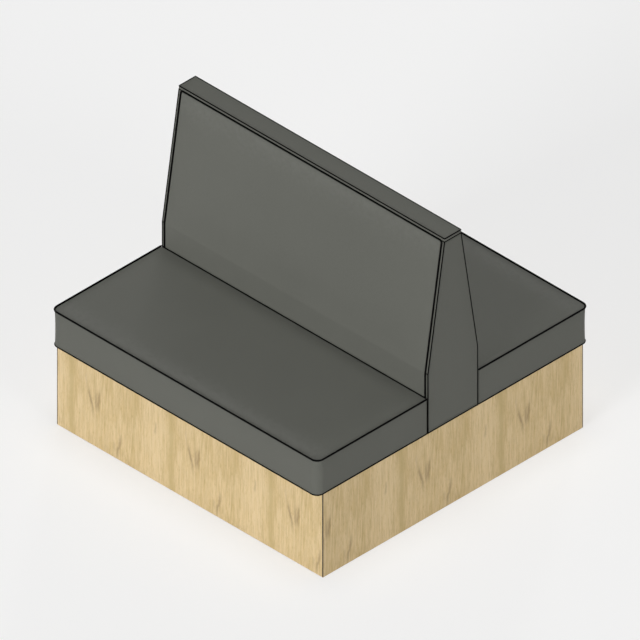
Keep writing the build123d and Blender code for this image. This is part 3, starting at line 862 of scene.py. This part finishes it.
def seat_cushion():
    form = seat_form()
    points = form.all_points()
    u, v = form.u.ravel(), form.v.ravel()
    face = len(u)
    reach_u = 1 - np.abs(u) / (half_length - seat_roll)
    reach_v = form.reach_v()
    free, limit = np.zeros(len(points)), np.zeros(len(points))
    free[:face] = freedom(reach_u, reach_v, seat_free_rates, seat_free_gain)
    limit[:face] = seat_crown
    free[form.ring_ids[0]] = 0
    from_rear = np.clip((-seat_rear - form.outline[:, 1]) / seat_bulge_over, 0, 1)
    for number in range(form.sides, form.feet):
        ids = form.ring_ids[number]
        share = math.sin(math.pi * (number - form.sides + 1) / (form.feet - form.sides + 1))
        free[ids] = np.clip(seat_bulge_freedom * share * from_rear, 0, 1)
        limit[ids] = seat_bulge * from_rear
    points = inflated(points, form.faces, free, limit)
    # Wear along the front edge and down the sides, most near the top; its lighter colour is
    # partly painted sheen.
    wear_and_sheen = np.zeros(len(points))
    wear_and_sheen[:face] = edge_wear_and_sheen(v - form.vs[0], seat_wear_and_sheen_over, *seat_wear_and_sheen_shares)
    for number in range(1, form.feet):
        side_wear_and_sheen = seat_side_wear_and_sheen - seat_side_wear_and_sheen_fall * number
        wear_and_sheen[form.ring_ids[number]] = max(least_wear_and_sheen, side_wear_and_sheen)
    return (points, form.faces), wear_and_sheen


def seat_welt():
    x = half_length + seat_welt_out
    front = -seat_front - seat_welt_out
    corners = [(-x, -seat_rear), (-x, front), (x, front), (x, -seat_rear)]
    flat = rounded_path(corners, [seat_corner + seat_welt_out] * 2, seat_step)
    return tube(level(flat, seat_top + seat_welt_out), welt_radius, welt_sides)


def seat_shade_cords():
    """Black cords along the foot of a cushion and along its rear top edge, where it meets the
    wood and the back: painted shade, put where these joints have only shadow lines.
    """
    x = half_length - shade_cord_inset
    front, rear = -seat_front + shade_cord_inset, -seat_rear - foot_shade_cord_radius + shade_cord_sunk
    corners = [(0, rear), (-x, rear), (-x, front), (x, front), (x, rear), (0, rear)]
    wide = seat_corner - shade_cord_inset
    flat = rounded_path(corners, [shade_cord_corner, wide, wide, shade_cord_corner], seat_step)[:-1]
    foot_shade_cord = level(flat, base_height + foot_shade_cord_radius + fit)
    reach = half_length - 2 * seat_rear_roll
    behind, above = -seat_rear - cord_radius + shade_cord_sunk, seat_top + shade_cord_raised
    rear_shade_cord = [(u, behind, above) for u in spaced(-reach, reach, seat_step)]
    return joined_meshes(
        [
            tube(foot_shade_cord, foot_shade_cord_radius, cord_sides, closed=True),
            tube(rear_shade_cord, cord_radius, cord_sides),
        ]
    )


cushion, cushion_wear_and_sheen = seat_cushion()
welt, shade_cords = seat_welt(), seat_shade_cords()
for side in ("front", "rear"):
    if side == "rear":
        cushion, welt, shade_cords = to_rear(*cushion), to_rear(*welt), to_rear(*shade_cords)
    body = f"seat_{side}"
    nodes = [f"seat_foam_{side}", f"seat_top_panel_{side}", f"seat_boxing_{side}"]
    new_cushion(f"seat_cushion_{side}", cushion, cushion_wear_and_sheen, body, nodes)
    new_welt(f"seat_piping_{side}", welt, body, f"seat_welt_{side}")
    # Black cords at the foot and rear top edge: painted shade where the cushion meets the wood
    # and the back.
    new_piece(f"seat_shade_cords_{side}", *shade_cords, black_vinyl, body, "black_welt")


# Back pads

pad_half = panel_inner_x - 2.8 * mm
pad_top = cap_bottom - 2.9 * mm
pad_proud = 2.0 * mm
pad_bend = 60.0 * mm
pad_thickness = 20.2 * mm
pad_roll = 3.0 * mm
pad_corner = 6.1 * mm
pad_crown = 3.0 * mm
pad_swell_from = 575.0 * mm
pad_swell_over = 110.0 * mm
pad_swell_gain = 4
pad_free_rates, pad_free_gain = (30, 16), 1.4
pad_wear_and_sheen_over = 120.0 * mm
pad_wear_and_sheen_shares = (0.2, 0.8)
pad_steps_u = 13.0 * mm
pad_steps_v = 12.5 * mm
pad_bend_steps = 5.5 * mm
pad_bend_margin = 6.0 * mm
pad_foot_row = 4.0 * mm
pad_rim_steps = np.array([0.0, 1.2, 2.2, 3.1, 7.0]) * mm
pad_roll_degrees = (20, 40, 58, 75, 90)
pad_side_shares = (0.25, 0.5, 0.75, 1.0)
pad_back_inset_share = 0.3
back_welt_x = panel_inner_x + 0.4 * mm
back_welt_top = cap_bottom + 0.3 * mm
back_welt_depth = 1.0 * mm
back_welt_corner = 9.0 * mm
back_welt_step = 6.0 * mm


def back_lines():
    """Lengths along the face of the pad: to the bend, round it, and to the top."""
    turn = lean / 2
    turn_z = bend_z + pad_proud * math.tan(turn)
    tangent = pad_bend * math.tan(turn)
    first = turn_z - tangent - base_height
    second = first + pad_bend * lean
    top_z = turn_z + tangent * math.cos(lean)
    third = second + (pad_top - top_z) / math.cos(lean)
    return first, second, third, top_z


bend_start, bend_end, pad_end, bend_end_z = back_lines()


def back_place(u, v, depth):
    """Points on the front face of the back, at a length up it and a depth into it."""
    u, v, depth = np.broadcast_arrays(u, v, depth)
    y0 = -(foot_half_width + pad_proud)
    angle = np.clip((v - bend_start) / pad_bend, 0, lean)
    low = np.minimum(v, bend_start)
    over = np.maximum(v - bend_end, 0)
    y = y0 + pad_bend * (1 - np.cos(angle)) + over * math.sin(lean)
    z = base_height + low + pad_bend * np.sin(angle) + over * math.cos(lean)
    return np.stack([u, y + depth * np.cos(angle), z - depth * np.sin(angle)], axis=1)


def back_form():
    left = -(pad_half - pad_roll) + pad_rim_steps
    top = pad_end - pad_roll
    foot_row = pad_roll + pad_foot_row
    below_bend, above_bend = bend_start - pad_bend_margin, bend_end + pad_bend_margin
    us = joined(left, spaced(left[-1], -left[-1], pad_steps_u), -left[::-1])
    vs = joined(
        [pad_roll, foot_row],
        spaced(foot_row, below_bend, pad_steps_v),
        spaced(below_bend, above_bend, pad_bend_steps),
        spaced(above_bend, top - pad_rim_steps[-1], pad_steps_v),
        top - pad_rim_steps[::-1],
    )
    outsets = (pad_roll,) * 4
    form = Form(us, vs, pad_corner - pad_roll, [(-1, 1), (1, 1)], outsets, back_place)
    form.roll(pad_roll_degrees)
    for share in pad_side_shares:
        form.ring(form.outline, pad_roll + (pad_thickness - 1.5 * pad_roll) * share)
    form.ring(form.shrunk(pad_back_inset_share * pad_roll), pad_thickness - fit)
    form.close(pad_thickness - fit)
    return form


def back_pad():
    form = back_form()
    points = form.all_points()
    u, v = form.u.ravel(), form.v.ravel()
    face = len(u)
    reach_u = 1 - np.abs(u) / (pad_half - pad_roll)
    reach_v = form.reach_v()
    above_seat = np.clip((points[:face, 2] - pad_swell_from) / pad_swell_over, 0, 1)
    above_seat = above_seat * above_seat * (3 - 2 * above_seat)
    free, limit = np.zeros(len(points)), np.zeros(len(points))
    free[:face] = freedom(reach_u, reach_v, pad_free_rates, pad_free_gain)
    free[:face] *= np.clip(above_seat * pad_swell_gain, 0, 1)
    limit[:face] = pad_crown * above_seat
    free[form.ring_ids[0]] = 0
    points = inflated(points, form.faces, free, limit)
    # Wear along the top edge; its lighter colour is partly painted sheen.
    wear_and_sheen = np.zeros(len(points))
    wear_and_sheen[:face] = edge_wear_and_sheen(form.vs[-1] - v, pad_wear_and_sheen_over, *pad_wear_and_sheen_shares)
    return (points, form.faces), wear_and_sheen


def back_welt():
    rise = back_welt_top + back_welt_depth * math.sin(lean) - bend_end_z
    top = bend_end + rise / math.cos(lean)
    x = back_welt_x
    corners = [(-x, 0.0), (-x, top), (x, top), (x, 0.0)]
    flat = rounded_path(corners, [back_welt_corner] * 2, back_welt_step)
    return tube(back_place(flat[:, 0], flat[:, 1], back_welt_depth), welt_radius, welt_sides)


pad, pad_wear_and_sheen = back_pad()
welt = back_welt()
for side in ("front", "rear"):
    if side == "rear":
        pad, welt = to_rear(*pad), to_rear(*welt)
    nodes = [f"back_foam_{side}", f"back_cover_{side}"]
    new_cushion(f"back_pad_{side}", pad, pad_wear_and_sheen, "booth_frame", nodes)
    new_welt(f"back_piping_{side}", welt, "booth_frame", f"back_welt_{side}")


# Vinyl wrapped over the end panels and the cap

panel_vinyl = 1.0 * mm
panel_roll = 1.4 * mm
panel_step = 15.0 * mm
cap_roll = 1.5 * mm
cap_step_v = 9.0 * mm
cap_roll_degrees = (22, 45, 68, 90)
quarter_turn = [math.radians(15 * step) for step in range(7)]
bend_rows = (3.0 * mm, 0.6 * mm)
edge_cord_share = 0.45
bend_seam_step = 2.0 * mm
top_shade_cord_step = 6.0 * mm
cap_seam_step = 12.0 * mm
tight_turns = 5


def half_width_at(z):
    return foot_half_width - max(0.0, z - bend_z) * math.tan(lean)


def end_section(half, out):
    """The wrap's section at one height: a channel with rounded outer corners."""
    r, t = panel_roll, panel_vinyl
    centre = half_length - r
    section = [(panel_inner_x, -half)]
    section += [(centre + r * math.sin(a), -half + r - r * math.cos(a)) for a in quarter_turn]
    section += [(half_length, -half / 2), (half_length, 0.0), (half_length, half / 2)]
    section += [
        (centre + r * math.sin(a), half - r + r * math.cos(a)) for a in reversed(quarter_turn)
    ]
    section += [(panel_inner_x, half), (panel_inner_x, half - t)]
    section += [(half_length - t, y) for y in (half - t, 0.0, t - half)]
    section.append((panel_inner_x, t - half))
    return [(out * x, y) for x, y in section]


def end_wrap(out):
    """The vinyl on one end of the back, out being its side along X."""
    far, near = bend_rows
    heights = joined(
        spaced(base_height, bend_z - far, panel_step),
        [0, bend_z - near, bend_z, bend_z + near],
        spaced(bend_z + far, cap_bottom, panel_step),
    )
    points, faces = [], []
    for z in heights:
        points += [(x, y, z) for x, y in end_section(half_width_at(z), out)]
    size = len(points) // len(heights)
    for k in range(len(heights) - 1):
        for m in range(size):
            n = (m + 1) % size
            faces.append((k * size + m, k * size + n, (k + 1) * size + n, (k + 1) * size + m))
    faces.append(tuple(reversed(range(size))))
    faces.append(tuple(range(len(points) - size, len(points))))
    if out < 0:
        faces = [tuple(reversed(face)) for face in faces]
    return np.array(points), faces


def end_seams_and_shade_cords(out):
    """The fine seams at the corners of an end's wrap and across its bend, and black cords at its
    foot and top, where it meets the wood and the cap: these two cords are painted shade.
    """
    inset = edge_cord_share * panel_roll
    x, reach = half_length - inset, foot_half_width - inset
    foot_shade_cord_z = base_height + foot_shade_cord_radius + fit
    foot_shade_cord = [(out * x, y, foot_shade_cord_z) for y in spaced(-reach, reach, panel_step)]
    y = cap_half_width - inset
    corners = [(panel_inner_x, -y), (x, -y), (x, y), (panel_inner_x, y)]
    flat = rounded_path(corners, [cap_roll] * 2, top_shade_cord_step, tight_turns)
    # The top cord stands for the shadow line under the cap: painted shade.
    top = level(flat * np.array([out, 1.0]), cap_bottom)
    tubes = [tube(foot_shade_cord, foot_shade_cord_radius, cord_sides), tube(top, cord_radius, cord_sides)]
    heights = joined(
        spaced(base_height, bend_z, panel_step), spaced(bend_z, cap_bottom, panel_step)
    )
    across = spaced(panel_inner_x + cord_radius, half_length - cord_radius, bend_seam_step)
    for sign in (-1, 1):
        edge = [(out * x, sign * (half_width_at(z) - inset), z) for z in heights]
        bend = [(out * depth, sign * reach, bend_z) for depth in across]
        tubes += [tube(path, cord_radius, cord_sides) for path in (edge, bend)]
    return joined_meshes(tubes)


def cap_place(u, v, depth):
    return np.stack([u, v, cap_top - depth], axis=1)


def cap_lines(half, step):
    """Grid lines across the cap's top, with one close to each rolled edge."""
    inner = half - cap_roll
    near = inner - 2 * cap_roll
    return joined([-inner, -near], spaced(-near, near, step), [0, inner])


def cap_wrap():
    us, vs = cap_lines(half_length, panel_step), cap_lines(cap_half_width, cap_step_v)
    form = Form(us, vs, cap_roll, [], (cap_roll,) * 4, cap_place)
    form.rolls = np.full_like(form.rolls, cap_roll)
    form.roll(cap_roll_degrees)
    height = cap_top - cap_bottom
    for share in (0.5, 1.0):
        form.ring(form.outline, cap_roll + (height - cap_roll) * share)
    form.ring(form.shrunk(panel_vinyl), height)
    form.ring(form.shrunk(panel_vinyl), panel_vinyl)
    form.close(panel_vinyl)
    return form.all_points(), form.faces


def cap_seam():
    """The fine seam round the top edge of the cap."""
    inset = edge_cord_share * cap_roll
    x, y = half_length - inset, cap_half_width - inset
    corners = [(0, -y), (x, -y), (x, y), (-x, y), (-x, -y), (0, -y)]
    path = rounded_path(corners, [cap_roll] * 4, cap_seam_step, tight_turns)[:-1]
    return tube(level(path, cap_top - inset), cord_radius, cord_sides, closed=True)


for end, out in (("left", -1), ("right", 1)):
    wrap = new_piece(
        f"end_wrap_{end}",
        *end_wrap(out),
        grey_vinyl,
        "booth_frame",
        "grey_vinyl",
        [f"end_panel_cover_{end}"],
    )
    # Seams, and at the foot and top black cords of painted shade.
    new_piece(f"end_seams_and_shade_cords_{end}", *end_seams_and_shade_cords(out), black_vinyl, "booth_frame", "black_welt")
cap = new_piece("cap_wrap", *cap_wrap(), grey_vinyl, "booth_frame", "grey_vinyl", ["cap_cover"])
new_piece("cap_seam", *cap_seam(), black_vinyl, "booth_frame", "black_welt")


# Floor, light and camera

floor_reach = 30.0
floor_drop = 0.5 * mm
floor_colour = (0.42, 0.42, 0.418, 1.0)
floor_glow = 0.55
white = (1.0, 1.0, 1.0, 1.0)
world_light = 0.15
backdrop_colour = (0.9, 0.9, 0.895, 1.0)
view_width = 2.0763
view_centre = (0.0, 0.0, 0.4212)
view_distance = 6.0
view_clip = (0.1, 40.0)
view_azimuth = math.radians(45.0)
view_elevation = math.radians(35.264)


def shown_directly(tree):
    """1 where a surface is seen by the camera, in a gleam or through glass."""
    seen = tree.nodes.new("ShaderNodeLightPath")
    shown = seen.outputs["Is Camera Ray"]
    for kind in ("Is Glossy Ray", "Is Transmission Ray"):
        either = tree.nodes.new("ShaderNodeMath")
        either.operation = "MAXIMUM"
        tree.links.new(shown, either.inputs[0])
        tree.links.new(seen.outputs[kind], either.inputs[1])
        shown = either.outputs[0]
    return shown


def pale_floor():
    f = Finish("floor_finish")
    f.put(f.shader.inputs["Base Color"], floor_colour)
    f.put(f.shader.inputs["Roughness"], 0.9)
    f.put(f.shader.inputs["Specular IOR Level"], 0.0)
    f.put(f.shader.inputs["Emission Color"], white)
    f.put(f.shader.inputs["Emission Strength"], f.times(shown_directly(f.tree), floor_glow))
    r = floor_reach
    mesh = plain_mesh("floor", [(-r, -r, 0), (r, -r, 0), (r, r, 0), (-r, r, 0)], [(0, 1, 2, 3)])
    mesh.materials.append(f.material)
    floor = bpy.data.objects.new("floor", mesh)
    floor.location.z = -floor_drop
    bpy.context.scene.collection.objects.link(floor)


def studio_world():
    world = bpy.data.worlds.new("studio")
    bpy.context.scene.world = world
    world.use_nodes = True
    tree = world.node_tree
    tree.nodes.clear()
    output = tree.nodes.new("ShaderNodeOutputWorld")
    mixed = tree.nodes.new("ShaderNodeMixShader")
    tree.links.new(shown_directly(tree), mixed.inputs[0])
    shades = ((white, world_light), (backdrop_colour, 1.0))
    for socket, (colour, strength) in zip(mixed.inputs[1:], shades):
        shade = tree.nodes.new("ShaderNodeBackground")
        shade.inputs[0].default_value = colour
        shade.inputs[1].default_value = strength
        tree.links.new(shade.outputs[0], socket)
    tree.links.new(mixed.outputs[0], output.inputs[0])


def lamp(name, towards, strength, softness, gleams=True):
    """A wide soft light that shines from a direction."""
    data = bpy.data.lights.new(name, "SUN")
    data.energy = strength
    data.angle = math.radians(softness)
    light = bpy.data.objects.new(name, data)
    light.visible_glossy = gleams
    light.rotation_mode = "QUATERNION"
    light.rotation_quaternion = Vector(towards).to_track_quat("Z", "Y")
    bpy.context.scene.collection.objects.link(light)


def photo_camera():
    data = bpy.data.cameras.new("camera")
    data.type = "ORTHO"
    data.ortho_scale = view_width
    data.clip_start, data.clip_end = view_clip
    camera = bpy.data.objects.new("camera", data)
    level_share = math.cos(view_elevation)
    back = Vector(
        (
            math.sin(view_azimuth) * level_share,
            -math.cos(view_azimuth) * level_share,
            math.sin(view_elevation),
        )
    )
    camera.location = Vector(view_centre) + back * view_distance
    camera.rotation_mode = "QUATERNION"
    camera.rotation_quaternion = (-back).to_track_quat("-Z", "Y")
    bpy.context.scene.collection.objects.link(camera)
    bpy.context.scene.camera = camera


pale_floor()
studio_world()
lamp("front_light", towards=(0.1, -0.97, 0.2), strength=2.47, softness=25.0)
lamp("right_light", towards=(0.97, -0.1, 0.2), strength=1.25, softness=25.0)
lamp("top_light", towards=(0.0, 0.0, 1.0), strength=1.13, softness=30.0)
lamp("rear_fill", towards=(-0.6, 0.8, 0.03), strength=2.9, softness=8.0, gleams=False)
photo_camera()
bpy.context.scene.view_settings.view_transform = "Standard"
